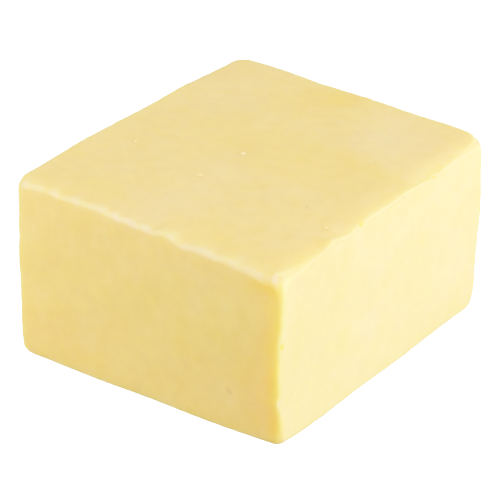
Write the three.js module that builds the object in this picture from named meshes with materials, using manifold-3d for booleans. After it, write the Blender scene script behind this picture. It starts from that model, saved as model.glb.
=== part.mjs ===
// A block of young cheddar, sawn off a larger cheese with a wire and then handled a little.
//
// It is one solid piece of cheese. Seen from above it is nearly a square, a little longer along Y.
// Its edges are crisp in their middle and worn round towards the eight corners. The top dips towards
// one corner, the sharp upright edge below it wanders, and a few crumbs have come off the edges.
//
// Millimetres, +Z up. The origin is the middle of the flat base that the block rests on.

import * as THREE from "three";
import { mergeVertices } from "three/addons/utils/BufferGeometryUtils.js";
import Module from "manifold-3d";

// Overall size of the block before its corners settle.
const WIDTH = 78; // along X
const DEPTH = 90.5; // along Y
const HEIGHT = 48; // along Z

// Radii of the level edges half-way along them, where the wire left them crisp.
const TOP_EDGE = 1.4;
const TOP_RIGHT_EDGE = 0.55; // the crispest, between the near corner and the right one
const BASE_EDGE = 1.6;
const WEAR_POWER = 7; // how suddenly the wear sets in towards a corner
const UPRIGHT_WEAR_POWER = 5; // the same, for the upright edges

// Each upright corner, named as seen from the side of the "near" one: its place in plan, the radii of
// its upright edge at the foot, half-way up and at the head, the radii that handling has worn the
// base's and the top's edge to beside it, how far its foot and its head stand off a true box, and how
// its edge strays sideways. A stray is [share of the way up, distance, half-length].
const CORNERS = {
  left: {
    side: [-1, -1],
    upright: [4.0, 2.3, 4.0],
    level: [2.1, 2.8],
    foot: [0, -0.5],
    head: [-0.7, 0, 0.8],
    strays: [[0.35, 0.3, 6], [0.7, -0.25, 5]],
  },
  near: {
    side: [1, -1],
    upright: [3.0, 0.8, 3.6],
    level: [2.7, 3.6],
    foot: [0.5, 1.5],
    head: [0.3, -0.5, -1.1],
    strays: [[0.27, -0.45, 2.2], [0.42, -0.1, 9], [0.72, 0.3, 2.5], [0.87, 1.1, 5.5]],
  },
  back: {
    side: [-1, 1],
    upright: [4.4, 2.3, 4.4],
    level: [2.1, 2.8],
    foot: [0, 0],
    head: [0.3, 0.6, 0.6],
    strays: [[0.25, -0.35, 5], [0.6, 0.4, 7]],
  },
  right: {
    side: [1, 1],
    upright: [5.8, 2.3, 5.8],
    level: [2.1, 2.8],
    foot: [-0.3, -0.8],
    head: [-0.2, -0.2, -0.1],
    strays: [[0.3, 0.3, 6], [0.65, -0.3, 8]],
  },
};
const STRAY_REACH = 4.5; // a stray fades out over this distance from the edge

// The head of the near corner droops.
const NEAR_DROOP = 0.5;
const DROOP_POWER = 4; // keeps the droop close to the corner

// The rim of the top face, edge by edge. A swell is [share of the way along, rise, half-length],
// and a negative rise is a dip.
const RIM = [
  {
    edge: ["left", "near"],
    swells: [
      [0.05, -0.4, 4],
      [0.19, -0.5, 2.5],
      [0.34, 0.5, 4],
      [0.58, 0.5, 2.5],
      [0.645, -0.7, 2.5],
      [0.927, -0.4, 2.5],
    ],
  },
  {
    edge: ["near", "right"],
    swells: [
      [0, 0.4, 3.5],
      [0.097, -0.6, 3.5],
      [0.157, -0.5, 3],
      [0.202, -0.5, 2.2],
      [0.238, 0.75, 2.2],
      [0.318, -0.5, 2.6],
      [0.412, 0.35, 2],
      [0.577, 0.5, 4],
      [0.611, -0.5, 24],
      [0.721, -0.7, 4.5],
      [0.787, -0.3, 4],
      [0.865, -0.4, 6],
    ],
  },
  { edge: ["back", "right"], swells: [[0.1, 0.1, 6], [0.4, -0.1, 10], [0.9, 0.2, 6]] },
  { edge: ["left", "back"], swells: [[0.15, -0.1, 8], [0.5, 0.1, 12], [0.85, -0.15, 6]] },
];
const SWELL_REACH = 3; // a swell fades out over this distance from the edge

// The wire dragged a low lip of cheese along the edge it left last.
const LIP = { edge: ["left", "near"], rise: 0.22, width: 0.9 };

// Shallow waves that the cutting wire left in the faces.
const WIRE_WAVE = 0.12;
const WAVE_LENGTHS = [31, 37, 23]; // along X, Y and Z

// Crumbs missing from the edges. Each left a hollow: its place on the true box, the way out of the
// cheese there, the axis that it is long in, and its radius.
const NICKS = [
  { place: [39, -11.1, 47.8], out: [1, 0, 1], long: "y", radius: 0.75 },
  { place: [39, 20.8, 48], out: [1, 0, 1], long: "y", radius: 0.7 },
  { place: [39, -44.3, 29.2], out: [1, -0.3, 0], long: "z", radius: 0.65 },
  { place: [39, -44.6, 13.6], out: [1, -0.5, 0], long: "z", radius: 0.6 },
  { place: [-39, 45.25, 20.2], out: [-1, 1, 0], long: "z", radius: 1.0 },
];
const NICK_STAND_OFF = 0.25; // share of its radius by which a hollow's centre stands off the cheese
const NICK_STRETCH = 1.3; // length of a hollow, in radii

// Grid lines over the faces: close together over each rounded edge, then evenly spaced.
const EDGE_LINES = [0, 0.5, 1.1, 1.9, 3, 4.6]; // distances from the edge
const LINE_SPACING = 3.3;

// Positions of the grid lines along one side of the block, from -length/2 to length/2.
function gridLines(length) {
  const reach = EDGE_LINES[EDGE_LINES.length - 1];
  const middle = length - 2 * reach;
  const steps = Math.round(middle / LINE_SPACING);
  const inner = [];
  for (let i = 1; i < steps; i++) inner.push(-middle / 2 + (i * middle) / steps);
  const low = EDGE_LINES.map((d) => d - length / 2);
  const high = EDGE_LINES.map((d) => length / 2 - d).reverse();
  return [...low, ...inner, ...high];
}

const mix = (a, b, t) => a + (b - a) * t;

const bell = (distance, halfLength) => Math.exp(-((distance / halfLength) ** 2));

function cornerAt(x, y) {
  const sides = [x > 0 ? 1 : -1, y > 0 ? 1 : -1];
  return Object.values(CORNERS).find((c) => c.side[0] === sides[0] && c.side[1] === sides[1]);
}

// Where p lies beside an edge of the top face: how far along it, from 0 to its length, and how far
// from it, both in millimetres.
function besideRim([from, to], p) {
  const [a, b] = [CORNERS[from].side, CORNERS[to].side];
  const alongX = a[1] === b[1];
  const across = alongX ? DEPTH / 2 - p.y * a[1] : WIDTH / 2 - p.x * a[0];
  const length = alongX ? WIDTH : DEPTH;
  const along = length / 2 + (alongX ? p.x * b[0] : p.y * b[1]);
  return { along, length, away: Math.hypot(across, HEIGHT - p.z) };
}

// Rounds the edges of the true box. p lies on its surface, with z from 0 to HEIGHT.
function roundEdges(p) {
  const corner = cornerAt(p.x, p.y);
  const [footRadius, middleRadius, headRadius] = corner.upright;
  const rise = (2 * p.z) / HEIGHT - 1;
  const endRadius = rise > 0 ? headRadius : footRadius;
  const upright = mix(middleRadius, endRadius, Math.abs(rise) ** UPRIGHT_WEAR_POWER);
  const wear = Math.abs((4 * p.x * p.y) / (WIDTH * DEPTH)) ** WEAR_POWER;
  const towardsCorner = wear * (2 - wear);

  // In plan: the nearest point of the inner rectangle, and the way out from there.
  const inner = new THREE.Vector2(
    THREE.MathUtils.clamp(p.x, upright - WIDTH / 2, WIDTH / 2 - upright),
    THREE.MathUtils.clamp(p.y, upright - DEPTH / 2, DEPTH / 2 - upright),
  );
  const out = new THREE.Vector2(p.x, p.y).sub(inner);
  let reach = Math.max(Math.abs(out.x), Math.abs(out.y));
  out.normalize();
  const topEdge = mix(TOP_EDGE, TOP_RIGHT_EDGE, Math.max(out.x, 0) ** 2);

  // In section: a quarter round at the top and one at the base, split at 45 degrees between the
  // points of the level face and those of the upright one.
  let z = p.z;
  const rims = [
    { radius: mix(topEdge, corner.level[1], towardsCorner), level: HEIGHT, up: 1 },
    { radius: mix(BASE_EDGE, corner.level[0], towardsCorner), level: 0, up: -1 },
  ];
  for (const { radius, level, up } of rims) {
    const drop = (level - p.z) * up;
    const onLevelFace = drop === 0;
    const share = (onLevelFace ? upright - reach : drop) / radius;
    if (share >= 1) continue;
    const turn = (Math.PI / 4) * (onLevelFace ? 1 + share : 1 - share);
    reach = upright - radius * (1 - Math.cos(turn));
    z = level - up * radius * (1 - Math.sin(turn));
  }
  return new THREE.Vector3(inner.x + out.x * reach, inner.y + out.y * reach, z);
}

// Lets the corners of the rounded block settle, and the near one droop.
function settle(p) {
  const u = p.x / WIDTH + 0.5;
  const v = p.y / DEPTH + 0.5;
  const w = p.z / HEIGHT;
  const moved = p.clone();
  for (const { side, foot, head } of Object.values(CORNERS)) {
    const weight = (side[0] > 0 ? u : 1 - u) * (side[1] > 0 ? v : 1 - v);
    moved.x += weight * mix(foot[0], head[0], w);
    moved.y += weight * mix(foot[1], head[1], w);
    moved.z += weight * mix(0, head[2], w);
  }
  moved.z -= NEAR_DROOP * w * Math.max(0, u * (1 - v)) ** DROOP_POWER;
  return moved;
}

// How far p, on the true box, moves because the edges beside it are uneven.
function unevenness(p) {
  const move = new THREE.Vector3();
  for (const { edge, swells } of RIM) {
    const { along, length, away } = besideRim(edge, p);
    for (const [share, rise, halfLength] of swells) {
      move.z += rise * bell(along - share * length, halfLength) * bell(away, SWELL_REACH);
    }
  }
  const { away } = besideRim(LIP.edge, p);
  move.z += LIP.rise * bell(away, LIP.width);

  const { side, strays } = cornerAt(p.x, p.y);
  const fromEdge = Math.hypot(WIDTH / 2 - Math.abs(p.x), DEPTH / 2 - Math.abs(p.y));
  for (const [share, distance, halfLength] of strays) {
    const stray = distance * bell(p.z - share * HEIGHT, halfLength) * bell(fromEdge, STRAY_REACH);
    move.x -= (stray * side[1]) / Math.SQRT2;
    move.y += (stray * side[0]) / Math.SQRT2;
  }
  return move;
}

// Wire marks: long shallow waves, across each face. The base stays flat.
function wave(p) {
  const [a, b, c] = WAVE_LENGTHS.map((length) => (2 * Math.PI) / length);
  const level = p.z / HEIGHT;
  p.z += WIRE_WAVE * level * Math.sin(a * p.x + 0.6) * Math.cos(b * p.y);
  p.x += WIRE_WAVE * Math.sin(b * p.y + c * p.z);
  p.y += WIRE_WAVE * Math.cos(a * p.x - c * p.z);
  return p;
}

const shaped = (p) => wave(settle(roundEdges(p)).add(unevenness(p)));

function blockSurface() {
  const sides = [WIDTH, DEPTH, HEIGHT];
  const lines = sides.map(gridLines);
  const counts = lines.map((l) => l.length - 1);
  const geometry = new THREE.BoxGeometry(...sides, ...counts);
  const position = geometry.getAttribute("position");
  const p = new THREE.Vector3();
  for (let i = 0; i < position.count; i++) {
    p.fromBufferAttribute(position, i);
    const line = (value, k) => lines[k][Math.round((value / sides[k] + 0.5) * counts[k])];
    const onBox = new THREE.Vector3(line(p.x, 0), line(p.y, 1), line(p.z, 2) + HEIGHT / 2);
    const { x, y, z } = shaped(onBox);
    position.setXYZ(i, x, y, z);
  }
  return geometry;
}

// The cheese that a crumb took away from an edge: a lump round a point beside it.
function lumpSurface({ place, out, long, radius }, index) {
  const outwards = new THREE.Vector3(...out).normalize();
  const centre = shaped(new THREE.Vector3(...place)).addScaledVector(outwards, radius * NICK_STAND_OFF);
  const lump = new THREE.IcosahedronGeometry(radius, 1);
  lump.rotateX(index);
  lump.scale(...["x", "y", "z"].map((axis) => (axis === long ? NICK_STRETCH : 1)));
  lump.translate(...centre);
  return lump;
}

// A closed mesh as a solid, and back.
function solidOf(wasm, geometry) {
  const bare = geometry.clone();
  bare.deleteAttribute("normal");
  bare.deleteAttribute("uv");
  const merged = mergeVertices(bare, 1e-4);
  return new wasm.Manifold(
    new wasm.Mesh({
      numProp: 3,
      vertProperties: merged.getAttribute("position").array,
      triVerts: new Uint32Array(merged.getIndex().array),
    }),
  );
}

function geometryOf(solid) {
  const { vertProperties, triVerts } = solid.getMesh();
  const geometry = new THREE.BufferGeometry();
  geometry.setAttribute("position", new THREE.BufferAttribute(vertProperties, 3));
  geometry.setIndex(new THREE.BufferAttribute(triVerts, 1));
  geometry.computeVertexNormals();
  return geometry;
}

// Moves the block so that its base is at z = 0 and its box is centred over the origin.
function centreOnBase(geometry) {
  geometry.computeBoundingBox();
  const { min, max } = geometry.boundingBox;
  geometry.translate(-(min.x + max.x) / 2, -(min.y + max.y) / 2, -min.z);
  return geometry;
}

const wasm = await Module();
wasm.setup();

let cheese = solidOf(wasm, blockSurface());
NICKS.forEach((nick, index) => {
  cheese = cheese.subtract(solidOf(wasm, lumpSurface(nick, index)));
});

const cheddar = new THREE.MeshStandardMaterial({ color: "#f1dc9c", roughness: 0.5, metalness: 0 });
const block = new THREE.Mesh(centreOnBase(geometryOf(cheese)), cheddar);
block.name = "cheddar_block";

const group = new THREE.Group();
group.add(block);

export default group;
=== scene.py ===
"""A block of young cheddar with a few crumbs on it, on a white studio floor.

The block's form is worked out in millimetres, in the same way as its CAD solid, and then given the
finer relief of cut cheese. Finished meshes are in metres.
"""

import math

import bmesh
import bpy
from mathutils import Matrix, Vector, noise


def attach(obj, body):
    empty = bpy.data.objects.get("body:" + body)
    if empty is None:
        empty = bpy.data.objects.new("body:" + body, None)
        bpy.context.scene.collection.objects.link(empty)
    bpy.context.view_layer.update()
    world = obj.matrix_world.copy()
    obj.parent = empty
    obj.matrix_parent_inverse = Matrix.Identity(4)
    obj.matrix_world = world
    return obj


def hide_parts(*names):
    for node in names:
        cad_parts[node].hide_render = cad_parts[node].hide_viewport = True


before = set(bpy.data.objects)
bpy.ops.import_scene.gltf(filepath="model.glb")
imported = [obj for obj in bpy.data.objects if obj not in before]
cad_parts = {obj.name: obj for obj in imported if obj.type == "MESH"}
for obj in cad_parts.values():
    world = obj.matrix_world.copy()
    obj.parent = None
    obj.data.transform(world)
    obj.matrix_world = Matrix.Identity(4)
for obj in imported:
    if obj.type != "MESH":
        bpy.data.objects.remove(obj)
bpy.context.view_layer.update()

MM = 0.001

# The block before its corners settle, in millimetres.
WIDTH = 78.0  # along X
DEPTH = 90.5  # along Y
HEIGHT = 48.0  # along Z
HALF = (WIDTH / 2, DEPTH / 2)

# Edge radii half-way along: of the top, of its crisper right-hand edge, and of the base. The powers
# say how suddenly wear sets in towards a corner, along level edges and along upright ones.
TOP_EDGE, TOP_RIGHT_EDGE, BASE_EDGE = 1.4, 0.55, 1.6
WEAR_POWER, UPRIGHT_WEAR_POWER = 7, 5

# For each upright corner, by its place in plan: the radii of its edge at the foot, half-way up and
# at the head, the radii of the base's and the top's edge beside it, how far its foot and its head
# stand off a true box, and how its edge strays sideways. A stray is (share of the way up, distance,
# half-length).
CORNERS = {
    (-1, -1): (
        (4.0, 2.3, 4.0),
        (2.1, 2.8),
        (0, -0.5),
        (-0.7, 0, 0.8),
        ((0.35, 0.3, 6), (0.7, -0.25, 5)),
    ),
    (1, -1): (
        (3.0, 0.8, 3.6),
        (2.7, 3.6),
        (0.5, 1.5),
        (0.3, -0.5, -1.1),
        ((0.27, -0.45, 2.2), (0.42, -0.1, 9), (0.72, 0.3, 2.5), (0.87, 1.1, 5.5)),
    ),
    (-1, 1): (
        (4.4, 2.3, 4.4),
        (2.1, 2.8),
        (0, 0),
        (0.3, 0.6, 0.6),
        ((0.25, -0.35, 5), (0.6, 0.4, 7)),
    ),
    (1, 1): (
        (5.8, 2.3, 5.8),
        (2.1, 2.8),
        (-0.3, -0.8),
        (-0.2, -0.2, -0.1),
        ((0.3, 0.3, 6), (0.65, -0.3, 8)),
    ),
}
STRAY_REACH = 4.5  # a stray fades out over this distance from the edge

# The head of the near corner droops, and the power keeps the droop close to it.
NEAR_DROOP = 0.5
DROOP_POWER = 4

# The rim of the top face. Each edge is (axis it runs along, side of the block it is on, swells),
# and a swell is (place along the edge, rise, half-length).
RIM = (
    (0, -1, ((-35, -0.4, 4), (-24, -0.5, 2.5), (-12.5, 0.5, 4), (6, 0.5, 2.5), (11.3, -0.7, 2.5),
             (-20.5, 0.15, 1.5), (-10.5, -0.4, 0.9), (-7, -0.4, 1.4), (-2, -0.35, 1.2), (2.6, -0.5, 1.3),
             (20.6, -0.4, 1.3), (27.6, -0.45, 1.6), (33.3, -0.4, 2.5))),
    (1, 1, ((-45.25, 0.4, 3.5), (-36.5, -0.6, 3.5), (-31, -0.5, 3), (-27, -0.5, 2.2),
            (-23.7, 0.75, 2.2), (-16.5, -0.5, 2.6), (-8, 0.35, 2), (7, 0.5, 4), (20, -0.7, 4.5),
            (26, -0.3, 4), (33, -0.4, 6), (10, -0.5, 24))),
    (0, 1, ((-31, 0.1, 6), (-8, -0.1, 10), (31, 0.2, 6))),
    (1, -1, ((-32, -0.1, 8), (0, 0.1, 12), (32, -0.15, 6))),
)
SWELL_REACH = 3.0  # a swell fades out over this distance from the edge
FADED = 1e-4  # share below which a swell or a stray is left out

# The low lip that the wire dragged along the left and front rim.
LIP_RISE, LIP_WIDTH = 0.22, 0.9

# The pale burr on that rim, partly dry curd and partly a painted highlight: its half-width and how
# far below the true edge its middle is, then the share and the half-width of the painted glow round
# it, which stands in for light leaking through the rim.
BURR_WIDTH, BURR_DROP = 1.0, 0.55
PAINTED_GLOW_SHARE, PAINTED_GLOW_REACH = 0.3, 2.8

# Its strength: the mean, how far it strays, its least and most, and how long its patches are.
BURR_MEAN, BURR_STRAY = 0.65, 0.6
BURR_LEAST, BURR_MOST = 0.4, 0.9
BURR_PATCHES = (2.3, 0.9)

# Where the burr is stronger or weaker: a place along X, the half-length, and how much.
BURR_SPELLS = (
    (-36.5, 2.5, -0.15), (-29, 4.5, -0.36), (-22.5, 2, -0.2), (-15.5, 3, -0.22), (-5, 3.5, 0.22),
    (0.5, 2.5, 0.18), (6.5, 2, -0.28), (17, 3, 0.18), (27.2, 1.8, -0.18), (30.5, 1.8, 0.18),
    (37.2, 1.3, 0.35), (39.6, 0.9, -0.4),
)

# Shallow waves that the cutting wire left in the faces.
WIRE_WAVE = 0.12
WAVE_LENGTHS = (31, 37, 23)  # along X, Y and Z
WAVE_START = 0.6

# Crumbs missing from the edges: a place on the true box, the way out, the axis that the hollow is
# long in, its radius, and how much paler the curd in it is.
NICKS = (
    ((39, -11.1, 47.8), (1, 0, 1), 1, 0.75, -1.5),
    ((39, 20.8, 48), (1, 0, 1), 1, 0.7, -0.6),
    ((39, -44.3, 29.2), (1, -0.3, 0), 2, 0.65, -1.2),
    ((39, -44.6, 13.6), (1, -0.5, 0), 2, 0.6, 0.5),
    ((-39, 45.25, 20.2), (-1, 1, 0), 2, 1.0, -0.2),
)
NICK_STAND_OFF = 0.25  # share of its radius by which a hollow's centre stands off the cheese
NICK_STRETCH = 1.3
NICK_ROUGHNESS, NICK_GRAIN = 0.22, 0.7

# Fine relief of the cut faces, as heights and sizes: soft undulation, faint grain, and edges that
# are ragged over EDGE_RAGGED of their sides. It fades out over the lowest millimetre.
UNDULATION = (0.05, 11)
GRAIN = (0.012, 1.4)
EDGE_RAGGED = 1.6
RAGS = (0.13, 3.1)
SMALL_RAGS = (0.09, 1.1)
RELIEF_FADE = 1.0

# How pale the curd is, from 0 to 1, without its fine clouds. The larger clouds, pale or deep, are
# in part clouds in the curd and in part painted light and painted shade, as marked below. Each is
# the middle on the true box, the half-widths, and how much paler. A cloud ends where the square of
# its distance, in half-widths, is CLOUD_END.
CURD = 0.24
CLOUD_END = 9
CLOUDS = (
    ((-1, 40, 48), (7, 6, 6), -0.3),
    ((22, 27, 48), (9, 8, 6), 0.25),
    ((17, 38, 48), (6, 6, 6), 0.18),
    ((20, 12, 48), (19, 4.5, 6), -0.16),
    ((-2, -12, 48), (5, 5, 5), 0.15),
    ((-1, -29, 48), (6, 12, 6), 0.15),
    ((-21, -38, 48), (7, 6, 6), -0.15),
    ((12, -34, 48), (5, 4, 5), -0.13),
    ((22, -38, 48), (9, 4, 5), -0.13),
    ((-25, 25, 48), (9, 9, 6), 0.08),
    ((5, 4, 48), (28, 9, 6), -0.15),
    ((-8, 32, 48), (10, 12, 6), -0.18),
    ((15, -45, 33), (4, 5, 4), 0.12),
    ((25, -45, 10), (4, 5, 4), 0.12),
    ((-20, -45, 4), (6, 5, 4), -0.15),
    ((39, -7, 17), (5, 4, 4), 0.15),
    ((39, -6, 32), (5, 6, 5), 0.1),
    ((39, -20, 30), (5, 4, 14), -0.1),
    ((39, 14, 32), (5, 6, 5), -0.1),
    # Painted light: a pale glow high on the left face, under the rim.
    ((20, -45, 40), (22, 1.5, 7), 0.15),
    # Painted light: deep yellow glow of light leaking through the near upright edge and near corner.
    ((37.2, -45.5, 22), (2.0, 1.2, 40), -0.4),
    ((35, -45.5, 45), (4, 1.2, 2.0), -0.4),
    # Painted light: paler on the top beside the crisp right rim.
    ((38, 0, 48), (0.6, 400, 1), 0.08),
    # Painted light and painted shade: the right face paler high up and deeper at its foot.
    ((39, 5, 41), (6, 18, 9), 0.07),
    ((39, 20, 3), (6, 24, 5.5), -0.1),
    ((-4, -37, 48), (8, 8, 6), 0.08),
    # Painted light and painted shade: the left face paler high up and deeper low down.
    ((-8, -45, 34), (12, 5, 8), 0.07),
    ((-31, -45, 8), (9, 5, 9), -0.09),
    ((32, -45, 26), (4, 5, 20), -0.08),
)

# In the same way, where the hue turns towards green, and where the value is raised or lowered. The
# turns of hue are painted tints of light: towards green high on the side faces, away from it low
# down. The crisp rim is a little darker, which is painted shade against the light that the rounded
# rim catches, and so is one fleck in the left face, which is the painted shade of a small pit.
PAINTED_LIGHT_TINTS = (
    ((22, -45, 36), (24, 6, 15), 0.009),
    ((-28, -45, 6), (14, 6, 13), -0.006),
    ((39, 28, 4), (6, 26, 10), -0.005),
    ((39, 2, 44), (6, 22, 9), 0.004),
)
PAINTED_SHADES = (
    # Painted shade along the crisp right rim, against the light that the rounded rim catches.
    ((39, 0, 47.7), (0.7, 400, 0.7), -0.12),
    # Painted shade of a small pit in the left face.
    ((24.5, -45.25, 11.8), (0.6, 2, 0.6), -0.3),
)

# The mesh is fine over the edges and coarser over the faces.
EDGE_BAND = 3.0
EDGE_STEP = 0.25
FACE_STEP = 0.7

# Crumbs lying on the top, and darker flecks in it, which are the painted shade of tiny pits: place
# in plan, length, breadth and turn in degrees.
CRUMBS = (
    (-3.5, -0.9, 1.6, 1.0, 36),
    (-4.8, -16.8, 2.3, 0.9, 42),
    (-27.9, -12.3, 1.3, 0.8, 115),
    (-22.2, -3.5, 0.8, 0.6, 10),
    (13.0, 25.5, 0.8, 0.6, 50),
    (23.5, 15.2, 0.8, 0.65, 0),
    (33.5, -18.6, 1.0, 0.8, 20),
)
FLECKS = (
    (-20.6, -4.3, 0.8, 0.5, 30),
    (12.1, 26.9, 0.8, 0.5, 60),
    (24.6, -13.3, 1.3, 0.7, 130),
    (10.0, 34.5, 0.9, 0.3, 15),
)

# Their heights as shares of their breadths, and the size and the seed of the lumps in them. Without
# a seed, noise_vector gives other values on each run.
CRUMB_HEIGHT, FLECK_HEIGHT = 0.5, 0.2
CRUMB_LUMPS = 0.35
CRUMB_SEED = 1


def mix(a, b, t):
    return a + (b - a) * t


def bell(distance, half_length):
    return math.exp(-((distance / half_length) ** 2))


def corner_at(x, y):
    return CORNERS[(1 if x > 0 else -1, 1 if y > 0 else -1)]


def rounded(p):
    """Rounds the edges of the true box. p lies on its surface, with z from 0 to HEIGHT."""
    fx, fy, fz = abs(p.x / HALF[0]), abs(p.y / HALF[1]), 2 * p.z / HEIGHT - 1
    (foot, middle, head), (base_corner, top_corner) = corner_at(p.x, p.y)[:2]
    upright = mix(middle, head if fz > 0 else foot, abs(fz) ** UPRIGHT_WEAR_POWER)
    wear = (fx * fy) ** WEAR_POWER
    to_corner = wear * (2 - wear)

    inner = Vector((min(max(c, upright - h), h - upright) for c, h in zip(p.xy, HALF)))
    out = p.xy - inner
    reach = max(abs(out.x), abs(out.y))
    out.normalize()
    top_edge = mix(TOP_EDGE, TOP_RIGHT_EDGE, max(out.x, 0) ** 2)

    z = p.z
    rims = (
        (mix(top_edge, top_corner, to_corner), HEIGHT, 1),
        (mix(BASE_EDGE, base_corner, to_corner), 0, -1),
    )
    for radius, level, up in rims:
        drop = (level - p.z) * up
        level_face = drop < 1e-6
        share = (upright - reach if level_face else drop) / radius
        if share >= 1:
            continue
        turn = math.pi / 4 * (1 + share if level_face else 1 - share)
        reach = upright - radius * (1 - math.cos(turn))
        z = level - up * radius * (1 - math.sin(turn))
    return Vector((*(inner + out * reach), z))


def settled(p):
    """Lets the corners of the rounded block settle, and the near one droop."""
    u, v, w = p.x / WIDTH + 0.5, p.y / DEPTH + 0.5, p.z / HEIGHT
    moved = p.copy()
    for (sx, sy), (_, _, foot, head, _) in CORNERS.items():
        weight = (u if sx > 0 else 1 - u) * (v if sy > 0 else 1 - v)
        moved.x += weight * mix(foot[0], head[0], w)
        moved.y += weight * mix(foot[1], head[1], w)
        moved.z += weight * mix(0, head[2], w)
    moved.z -= NEAR_DROOP * w * max(0, u * (1 - v)) ** DROOP_POWER
    return moved


def unevenness(p):
    """How far a point of the true box moves because the edges beside it are uneven."""
    move = Vector()
    for axis, side, swells in RIM:
        across = HALF[1 - axis] - side * p[1 - axis]
        near = bell(math.hypot(across, HEIGHT - p.z), SWELL_REACH)
        if near > FADED:
            move.z += near * sum(rise * bell(p[axis] - place, length) for place, rise, length in swells)
    move.z += LIP_RISE * bell(math.hypot(HALF[1] + p.y, HEIGHT - p.z), LIP_WIDTH)

    sx, sy = (1 if p.x > 0 else -1), (1 if p.y > 0 else -1)
    near = bell(math.hypot(HALF[0] - abs(p.x), HALF[1] - abs(p.y)), STRAY_REACH)
    if near > FADED:
        strays = corner_at(p.x, p.y)[4]
        stray = near * sum(far * bell(p.z - share * HEIGHT, length) for share, far, length in strays)
        move += stray * Vector((-sy, sx, 0)) / math.sqrt(2)
    return move


def waved(p):
    a, b, c = (2 * math.pi / length for length in WAVE_LENGTHS)
    q = p.copy()
    q.z += WIRE_WAVE * p.z / HEIGHT * math.sin(a * p.x + WAVE_START) * math.cos(b * p.y)
    q.x += WIRE_WAVE * math.sin(b * p.y + c * q.z)
    q.y += WIRE_WAVE * math.cos(a * q.x - c * q.z)
    return q


def shaped(p):
    return waved(settled(rounded(p)) + unevenness(p))


def grid_lines(length):
    """Places of the grid lines along one side: close over the edges, wider between."""
    edge = [i * EDGE_STEP for i in range(round(EDGE_BAND / EDGE_STEP))]
    middle = length - 2 * EDGE_BAND
    steps = round(middle / FACE_STEP)
    inner = [EDGE_BAND + i * middle / steps for i in range(steps + 1)]
    return edge + inner + [length - d for d in reversed(edge)]


def true_box():
    """A finely gridded box, its base at z = 0."""
    bm = bmesh.new()
    bmesh.ops.create_cube(bm, size=1.0)
    lines = [grid_lines(length) for length in (WIDTH, DEPTH, HEIGHT)]
    for axis, places in enumerate(lines):
        along = [e for e in bm.edges if abs(e.verts[0].co[axis] - e.verts[1].co[axis]) > 0.5]
        bmesh.ops.subdivide_edges(bm, edges=along, cuts=len(places) - 2)
    starts = (-HALF[0], -HALF[1], 0)
    for v in bm.verts:
        v.co = [
            start + places[round((c + 0.5) * (len(places) - 1))]
            for c, places, start in zip(v.co, lines, starts)
        ]
    return bm


def edge_distance(p):
    """How far a point of the surface is from the nearest edge of the true box."""
    gaps = sorted((HALF[0] - abs(p.x), HALF[1] - abs(p.y), min(p.z, HEIGHT - p.z)))
    return max(gaps[1], 0)


def pale_rim_at(p):
    """How much of the pale burr on the left and front rim lies at a point of the true box. It is
    partly dry curd and partly a painted highlight, with a painted glow round it.
    """
    away = math.hypot(HALF[1] + p.y, HEIGHT - BURR_DROP - p.z)
    long_patch, short_patch = (p.x / length for length in BURR_PATCHES)
    along = noise.noise(Vector((long_patch, 0, 0))) + 0.6 * noise.noise(Vector((short_patch, 5, 0)))
    # The narrow band is the burr with its painted highlight; the wide one is a painted glow.
    band = mix(bell(away, BURR_WIDTH), bell(away, PAINTED_GLOW_REACH), PAINTED_GLOW_SHARE)
    spells = sum(much * bell(p.x - place, length) for place, length, much in BURR_SPELLS)
    return band * (min(max(BURR_MEAN + BURR_STRAY * along, BURR_LEAST), BURR_MOST) + spells)


def clouded(p, clouds):
    """What soft clouds add up to at a point of the true box."""
    total = 0
    for middle, widths, much in clouds:
        off = sum(((c - m) / w) ** 2 for c, m, w in zip(p, middle, widths))
        if off < CLOUD_END:
            total += much * math.exp(-off)
    return total


def paleness(p):
    """How pale the colour is at a point of the true box: clouds in the curd, and painted light and
    painted shade on the side faces and beside the right rim.
    """
    nicks = sum(much * bell((p - Vector(place)).length, radius) for place, _, _, radius, much in NICKS)
    return CURD + clouded(p, CLOUDS) + nicks


def uneven(p, height, size):
    return height * noise.noise(p / size)


def relief(p, edge):
    """Fine relief of cut cheese: soft undulation, faint grain, and ragged edges."""
    height, size = UNDULATION
    soft = height * noise.fractal(p / size, 1.0, 2.0, 3)
    ragged = bell(edge, EDGE_RAGGED) * (uneven(p, *RAGS) + uneven(p, *SMALL_RAGS))
    return soft + uneven(p, *GRAIN) + ragged


def carve(bm, centre, out, stretch, radius):
    """Presses a rough hollow into the surface, round a centre that stands off it."""
    scale = Vector((radius * s for s in stretch))
    out = out.normalized()
    way = Vector((o / s for o, s in zip(out, scale)))
    for v in bm.verts:
        q = v.co - centre
        if q.length > 2 * radius * max(stretch):
            continue
        rough = 1 + NICK_ROUGHNESS * noise.noise(v.co / NICK_GRAIN)
        q = Vector((c / s / rough for c, s in zip(q, scale)))
        if q.length >= 1:
            continue
        half_b = q.dot(way)
        depth = (half_b + math.sqrt(half_b**2 + way.dot(way) * (1 - q.dot(q)))) / way.dot(way)
        v.co -= out * depth * rough


def object_from(bm, name, material):
    mesh = bpy.data.meshes.new(name)
    bmesh.ops.recalc_face_normals(bm, faces=bm.faces)
    bmesh.ops.scale(bm, vec=(MM, MM, MM), verts=bm.verts)
    for f in bm.faces:
        f.smooth = True
    bm.to_mesh(mesh)
    bm.free()
    mesh.materials.append(material)
    obj = bpy.data.objects.new(name, mesh)
    bpy.context.scene.collection.objects.link(obj)
    return obj


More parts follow.
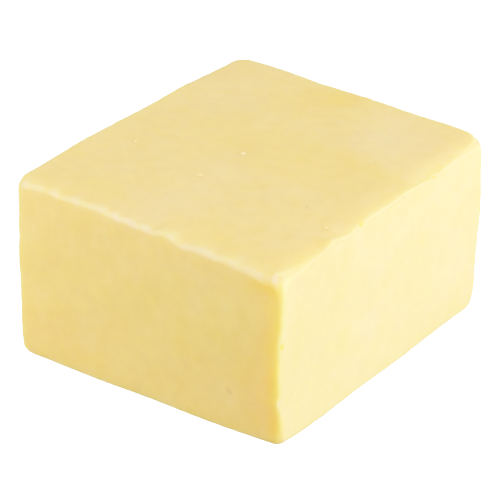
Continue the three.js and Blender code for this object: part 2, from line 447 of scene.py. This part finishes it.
def cheese_block(material):
    bm = true_box()
    # Besides the dry burr, this layer holds a painted highlight and a painted glow round it.
    burr_and_painted_light = bm.verts.layers.float.new("burr_and_painted_light")
    # This layer holds clouds in the curd, and painted light and painted shade as well.
    pale = bm.verts.layers.float.new("pale_curd_and_painted_light")
    from_edge = bm.verts.layers.float.new("from_edge")
    # This layer holds painted tints of light.
    painted_light_tint = bm.verts.layers.float.new("painted_light_tint")
    # This layer holds painted shade: the crisp rim and a small pit.
    painted_shade = bm.verts.layers.float.new("painted_shade")
    for v in bm.verts:
        v[pale] = paleness(v.co)
        v[painted_light_tint] = clouded(v.co, PAINTED_LIGHT_TINTS)
        v[painted_shade] = clouded(v.co, PAINTED_SHADES)
        v[from_edge] = edge_distance(v.co)
        v[burr_and_painted_light] = pale_rim_at(v.co)
        v.co = shaped(v.co)
    bm.normal_update()
    for v in bm.verts:
        fade = min(v.co.z / RELIEF_FADE, 1.0)
        v.co += v.normal * relief(v.co, v[from_edge]) * fade
    for place, out, axis, radius, _ in NICKS:
        out = Vector(out).normalized()
        stretch = [NICK_STRETCH if i == axis else 1 for i in range(3)]
        centre = shaped(Vector(place)) + out * radius * NICK_STAND_OFF
        carve(bm, centre, out, stretch, radius)
    return object_from(bm, "cheese", material)


def bits(name, places, height_share, material):
    """Small uneven bits lying on the top."""
    noise.seed_set(CRUMB_SEED)
    bm = bmesh.new()
    for x, y, length, breadth, turn in places:
        height = breadth * height_share
        foot = shaped(Vector((x, y, HEIGHT)))
        size = Matrix.Diagonal((length / 2, breadth / 2, height / 2, 1))
        turned = Matrix.Rotation(math.radians(turn), 4, "Z")
        place = Matrix.Translation(foot + Vector((0, 0, height / 4))) @ turned @ size
        made = bmesh.ops.create_icosphere(bm, subdivisions=2, radius=1.0, matrix=place)
        for v in made["verts"]:
            v.co += height / 4 * noise.noise_vector(v.co / CRUMB_LUMPS)
    return object_from(bm, name, material)


def linear(hex_colour):
    """An sRGB hex colour as linear RGBA."""
    parts = [int(hex_colour[i : i + 2], 16) / 255 for i in (1, 3, 5)]
    return (*(c / 12.92 if c <= 0.04045 else ((c + 0.055) / 1.055) ** 2.4 for c in parts), 1.0)


def per_metre(feature_mm):
    """The texture scale whose features are about this many millimetres across."""
    return 1000 / feature_mm


def new_material(name):
    material = bpy.data.materials.new(name)
    material.use_nodes = True
    material.node_tree.nodes.clear()
    return material, material.node_tree


def add(tree, kind, inputs=None, **settings):
    """Adds a node. inputs gives its sockets values or links, and settings its own properties."""
    node = tree.nodes.new(kind)
    for name, value in settings.items():
        setattr(node, name, value)
    for name, value in (inputs or {}).items():
        if isinstance(value, bpy.types.NodeSocket):
            tree.links.new(value, node.inputs[name])
        else:
            node.inputs[name].default_value = value
    return node


def young_cheddar():
    """Young cheddar cut with a wire: smooth, waxy and translucent, with faint clouds of paler and
    deeper curd, and a dry pale burr along one rim. Some of the clouds are painted light and painted
    shade: glow under and beside the near edges, and side faces paler high up and deeper low down. The
    burr's paleness is partly a painted highlight, with a painted glow round it. The colour also holds
    painted tints of light, painted shade on the crisp right rim and the painted shade of a small pit."""
    material, tree = new_material("young_cheddar_wire_cut")
    place = add(tree, "ShaderNodeTexCoord").outputs["Object"]
    cloud = add(
        tree,
        "ShaderNodeTexNoise",
        {"Vector": place, "Scale": per_metre(6), "Detail": 4.0, "Roughness": 0.6},
    )
    # The paleness attribute carries painted light and painted shade as well as clouds in the curd.
    pale = add(tree, "ShaderNodeAttribute", attribute_name="pale_curd_and_painted_light").outputs["Fac"]
    curd = add(
        tree,
        "ShaderNodeMath",
        {0: cloud.outputs["Fac"], 1: 0.55, 2: pale},
        operation="MULTIPLY_ADD",
    )
    paste = add(
        tree,
        "ShaderNodeMix",
        {"Factor": curd.outputs["Value"], "A": linear("#fdcd68"), "B": linear("#fdd69c")},
        data_type="RGBA",
    )
    # Paler along the left and front rim: dry burr, with a painted highlight and a painted glow.
    burr_and_painted_light = add(tree, "ShaderNodeAttribute", attribute_name="burr_and_painted_light").outputs["Fac"]
    dried_and_painted_light = add(
        tree,
        "ShaderNodeMix",
        {"Factor": burr_and_painted_light, "A": paste.outputs["Result"], "B": linear("#ffd2a8")},
        data_type="RGBA",
    )
    specks = add(
        tree,
        "ShaderNodeTexNoise",
        {"Vector": place, "Scale": per_metre(4), "Detail": 3.0, "Roughness": 0.65},
    )
    shade = add(
        tree,
        "ShaderNodeMapRange",
        {
            "Value": specks.outputs["Fac"],
            "From Min": 0.3,
            "From Max": 0.7,
            "To Min": 0.955,
            "To Max": 1.02,
        },
    )
    # Painted tints of light, as turns of hue.
    painted_light_tint = add(tree, "ShaderNodeAttribute", attribute_name="painted_light_tint").outputs["Fac"]
    hue = add(tree, "ShaderNodeMath", {0: painted_light_tint, 1: 0.5}, operation="ADD")
    # Painted shade on the crisp rim and in a small pit, added to the value.
    painted_shade = add(tree, "ShaderNodeAttribute", attribute_name="painted_shade").outputs["Fac"]
    value = add(tree, "ShaderNodeMath", {0: painted_shade, 1: shade.outputs["Result"]}, operation="ADD")
    colour = add(
        tree,
        "ShaderNodeHueSaturation",
        {
            "Color": dried_and_painted_light.outputs["Result"],
            "Hue": hue.outputs["Value"],
            "Value": value.outputs["Value"],
        },
    )
    grain = add(
        tree,
        "ShaderNodeTexNoise",
        {"Vector": place, "Scale": per_metre(0.8), "Detail": 2.0},
    )
    bump = add(
        tree,
        "ShaderNodeBump",
        {"Height": grain.outputs["Fac"], "Strength": 0.25, "Distance": 0.00006},
    )
    rough = add(
        tree,
        "ShaderNodeMapRange",
        {"Value": cloud.outputs["Fac"], "To Min": 0.42, "To Max": 0.54},
    )
    shader = add(
        tree,
        "ShaderNodeBsdfPrincipled",
        {
            "Base Color": colour.outputs["Color"],
            "Roughness": rough.outputs["Result"],
            "Normal": bump.outputs["Normal"],
            "IOR": 1.45,
            "Subsurface Weight": 1.0,
            "Subsurface Radius": (1.0, 0.87, 0.42),
            "Subsurface Scale": 6.2 * MM,
        },
    )
    add(tree, "ShaderNodeOutputMaterial", {"Surface": shader.outputs["BSDF"]})
    return material


def cheddar_crumb():
    """Crumbs of the same cheese: drier, so paler and more matt."""
    material, tree = new_material("cheddar_crumb")
    shader = add(
        tree,
        "ShaderNodeBsdfPrincipled",
        {
            "Base Color": linear("#ffd89a"),
            "Roughness": 0.6,
            "IOR": 1.45,
            "Subsurface Weight": 1.0,
            "Subsurface Radius": (1.0, 0.8, 0.35),
            "Subsurface Scale": 0.6 * MM,
        },
    )
    add(tree, "ShaderNodeOutputMaterial", {"Surface": shader.outputs["BSDF"]})
    return material


def painted_pit_shade():
    """Darker flecks in the cut face: the painted shade of tiny pits."""
    material, tree = new_material("cheddar_painted_pit_shade")
    shader = add(
        tree,
        "ShaderNodeBsdfPrincipled",
        {"Base Color": linear("#e0c98a"), "Roughness": 0.6, "IOR": 1.45},
    )
    add(tree, "ShaderNodeOutputMaterial", {"Surface": shader.outputs["BSDF"]})
    return material


def white_floor():
    """A white studio floor that glows like a light table, so that it stays white."""
    material, tree = new_material("white_floor")
    shader = add(
        tree,
        "ShaderNodeBsdfPrincipled",
        {
            "Base Color": linear("#f2f2f2"),
            "Roughness": 0.9,
            "Emission Color": linear("#ffffff"),
            "Emission Strength": 3.5,
        },
    )
    add(tree, "ShaderNodeOutputMaterial", {"Surface": shader.outputs["BSDF"]})
    return material


def studio_floor(size=6.0):
    bm = bmesh.new()
    bmesh.ops.create_grid(bm, x_segments=1, y_segments=1, size=size / 2)
    mesh = bpy.data.meshes.new("floor")
    bm.to_mesh(mesh)
    bm.free()
    mesh.materials.append(white_floor())
    floor = bpy.data.objects.new("floor", mesh)
    bpy.context.scene.collection.objects.link(floor)
    floor.visible_diffuse = False
    floor.visible_glossy = False


LIGHT_AIM = (0, 0, 0.02)


def softbox(name, place, size, watts, colour, glare=True):
    """A soft lamp, aimed at the middle of the block. Without glare it doesn't show as gloss."""
    light = bpy.data.lights.new(name, "AREA")
    light.shape = "RECTANGLE"
    light.size, light.size_y = size
    light.energy = watts
    light.color = linear(colour)[:3]
    lamp = bpy.data.objects.new(name, light)
    lamp.location = place
    aim = Vector(LIGHT_AIM) - Vector(place)
    lamp.rotation_euler = aim.to_track_quat("-Z", "Y").to_euler()
    lamp.visible_camera = False
    lamp.visible_glossy = glare
    bpy.context.scene.collection.objects.link(lamp)


def studio_light():
    scene = bpy.context.scene
    world = bpy.data.worlds.new("studio")
    world.use_nodes = True
    world.node_tree.nodes["Background"].inputs["Color"].default_value = linear("#fff7e6")
    world.node_tree.nodes["Background"].inputs["Strength"].default_value = 0.6
    scene.world = world
    softbox("key", (0.9, -0.1, 0.45), (0.7, 0.6), 15.8, "#fbf3ff", glare=False)
    softbox("left_card", (-0.16, -0.20, 0.07), (0.12, 0.12), 0.34, "#fff8ee")
    softbox("right_card", (0.20, 0.10, 0.07), (0.12, 0.12), 0.272, "#fbf3ff")
    softbox("high_fill", (-0.30, -0.28, 0.34), (0.25, 0.25), 0.48, "#fff8ee")
    softbox("back_card", (-0.32, 0.45, 0.30), (0.6, 0.4), 0.48, "#ffffff")
    film_response(scene.view_settings)


def film_response(view):
    """Ordinary colours stay as they are, and bright ones roll off towards white, as on film."""
    view.view_transform = "Standard"
    view.use_curve_mapping = True
    mapping = view.curve_mapping
    mapping.white_level = (RESPONSE_RANGE,) * 3
    mapping.extend = "HORIZONTAL"
    curve = mapping.curves[3]
    for i in range(1, RESPONSE_POINTS):
        scene_light = RESPONSE_RANGE * i / RESPONSE_POINTS
        curve.points.new(i / RESPONSE_POINTS, rolled_off(scene_light))
    curve.points[-1].location = (1, rolled_off(RESPONSE_RANGE))
    mapping.update()


def rolled_off(light):
    if light < SHOULDER:
        return light
    room = SHOULDER_TOP - SHOULDER
    return min(1.0, SHOULDER + room * (1 - math.exp((SHOULDER - light) / room)))


# The response curve: straight up to the shoulder, and white from about RESPONSE_RANGE on.
SHOULDER, SHOULDER_TOP = 0.376, 1.037
RESPONSE_RANGE = 4.0
RESPONSE_POINTS = 32

# The camera: its optical axis passes through AIM, in millimetres.
AIM = (-0.46, -1.46, 22.49)
AZIMUTH, ELEVATION, ROLL = 35.52, 28.40, 0.957
CAMERA_DISTANCE = 702.6
LENS = 203.0
SENSOR = 36.0


def camera():
    view = bpy.data.cameras.new("camera")
    view.lens = LENS
    view.sensor_width = SENSOR
    view.clip_end = 20
    eye = bpy.data.objects.new("camera", view)
    turns = ((AZIMUTH, "Z"), (90 - ELEVATION, "X"), (ROLL, "Z"))
    across, tilt, roll = (Matrix.Rotation(math.radians(angle), 4, axis) for angle, axis in turns)
    turn = across @ tilt @ roll
    back = turn @ Vector((0, 0, 1))
    eye.matrix_world = Matrix.Translation((Vector(AIM) + back * CAMERA_DISTANCE) * MM) @ turn
    bpy.context.scene.collection.objects.link(eye)
    bpy.context.scene.camera = eye


camera()
studio_light()
studio_floor()

cheese = cheese_block(young_cheddar())
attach(cheese, "root")
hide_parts("cheddar_block")

for small in (
    bits("crumbs", CRUMBS, CRUMB_HEIGHT, cheddar_crumb()),
    bits("flecks", FLECKS, FLECK_HEIGHT, painted_pit_shade()),
):
    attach(small, "root")
